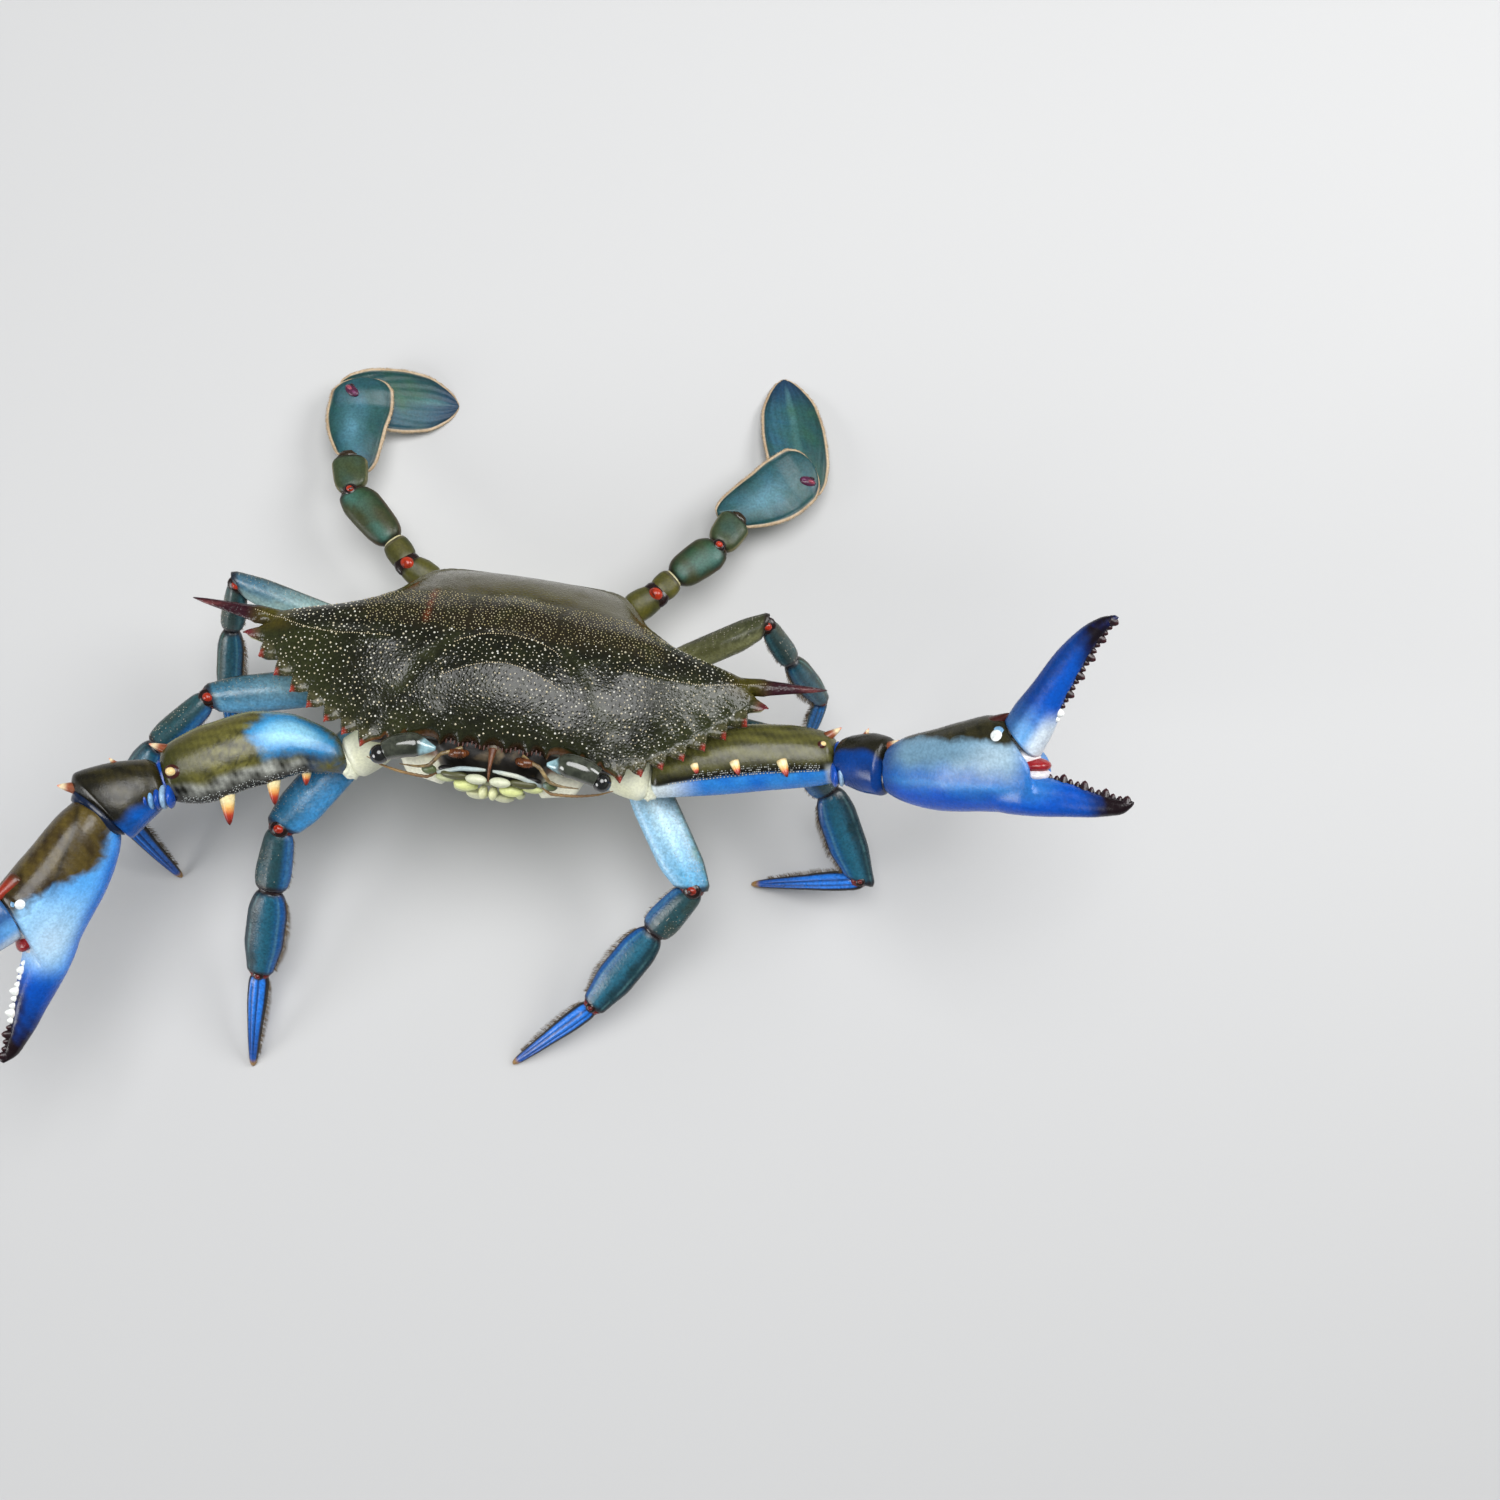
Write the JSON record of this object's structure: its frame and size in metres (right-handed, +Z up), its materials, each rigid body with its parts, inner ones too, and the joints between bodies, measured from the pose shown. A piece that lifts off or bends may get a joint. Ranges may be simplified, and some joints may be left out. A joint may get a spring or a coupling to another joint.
{
  "type": "blue crab",
  "caption": "Life-size still model of an adult male blue crab, nose raised, claws spread wide, swimming paddles folded out behind.",
  "frame": {"origin": "on the floor, under the middle of the whole model's box", "axes": "+Z up, the crab faces -Y, its left side is +X; the spread claws run along X"},
  "size_m": [0.2808, 0.219, 0.1059],
  "materials": {
    "shell_olive": "glossy dark olive shell with pale granules",
    "underside_cream": "satin pale cream",
    "mouth_cream": "satin cream yellow",
    "eye_dark": "wet gloss, near black",
    "feeler_brown": "satin orange brown",
    "arm_olive": "satin olive",
    "claw_blue": "satin cobalt blue",
    "leg_teal": "satin teal blue",
    "paddle_blue": "satin grey blue"
  },
  "bodies": {
    "root": {"carapace": "shell_olive", "ventral_body": "underside_cream", "abdomen": "underside_cream", "right_maxilliped": "mouth_cream", "right_eye": "eye_dark", "right_antenna": "feeler_brown", "right_antennule": "feeler_brown", "right_claw_ischium": "arm_olive", "right_claw_merus": "arm_olive", "right_claw_carpus": "arm_olive", "right_claw_palm": "claw_blue", "right_claw_finger": "claw_blue", "right_2_merus": "leg_teal", "right_2_carpus": "leg_teal", "right_2_propodus": "leg_teal", "right_2_dactyl": "leg_teal", "right_3_merus": "leg_teal", "right_3_carpus": "leg_teal", "right_3_propodus": "leg_teal", "right_3_dactyl": "leg_teal", "right_4_merus": "leg_teal", "right_4_carpus": "leg_teal", "right_4_propodus": "leg_teal", "right_4_dactyl": "leg_teal", "right_5_coxa": "paddle_blue", "right_5_ischium": "paddle_blue", "right_5_merus": "paddle_blue", "right_5_carpus": "paddle_blue", "right_5_propodus": "paddle_blue", "right_5_dactyl": "paddle_blue", "left_maxilliped": "mouth_cream", "left_eye": "eye_dark", "left_antenna": "feeler_brown", "left_antennule": "feeler_brown", "left_claw_ischium": "arm_olive", "left_claw_merus": "arm_olive", "left_claw_carpus": "arm_olive", "left_claw_palm": "claw_blue", "left_claw_finger": "claw_blue", "left_2_merus": "leg_teal", "left_2_carpus": "leg_teal", "left_2_propodus": "leg_teal", "left_2_dactyl": "leg_teal", "left_3_merus": "leg_teal", "left_3_carpus": "leg_teal", "left_3_propodus": "leg_teal", "left_3_dactyl": "leg_teal", "left_4_merus": "leg_teal", "left_4_carpus": "leg_teal", "left_4_propodus": "leg_teal", "left_4_dactyl": "leg_teal", "left_5_coxa": "paddle_blue", "left_5_ischium": "paddle_blue", "left_5_merus": "paddle_blue", "left_5_carpus": "paddle_blue", "left_5_propodus": "paddle_blue", "left_5_dactyl": "paddle_blue"}
  },
  "joints": []
}
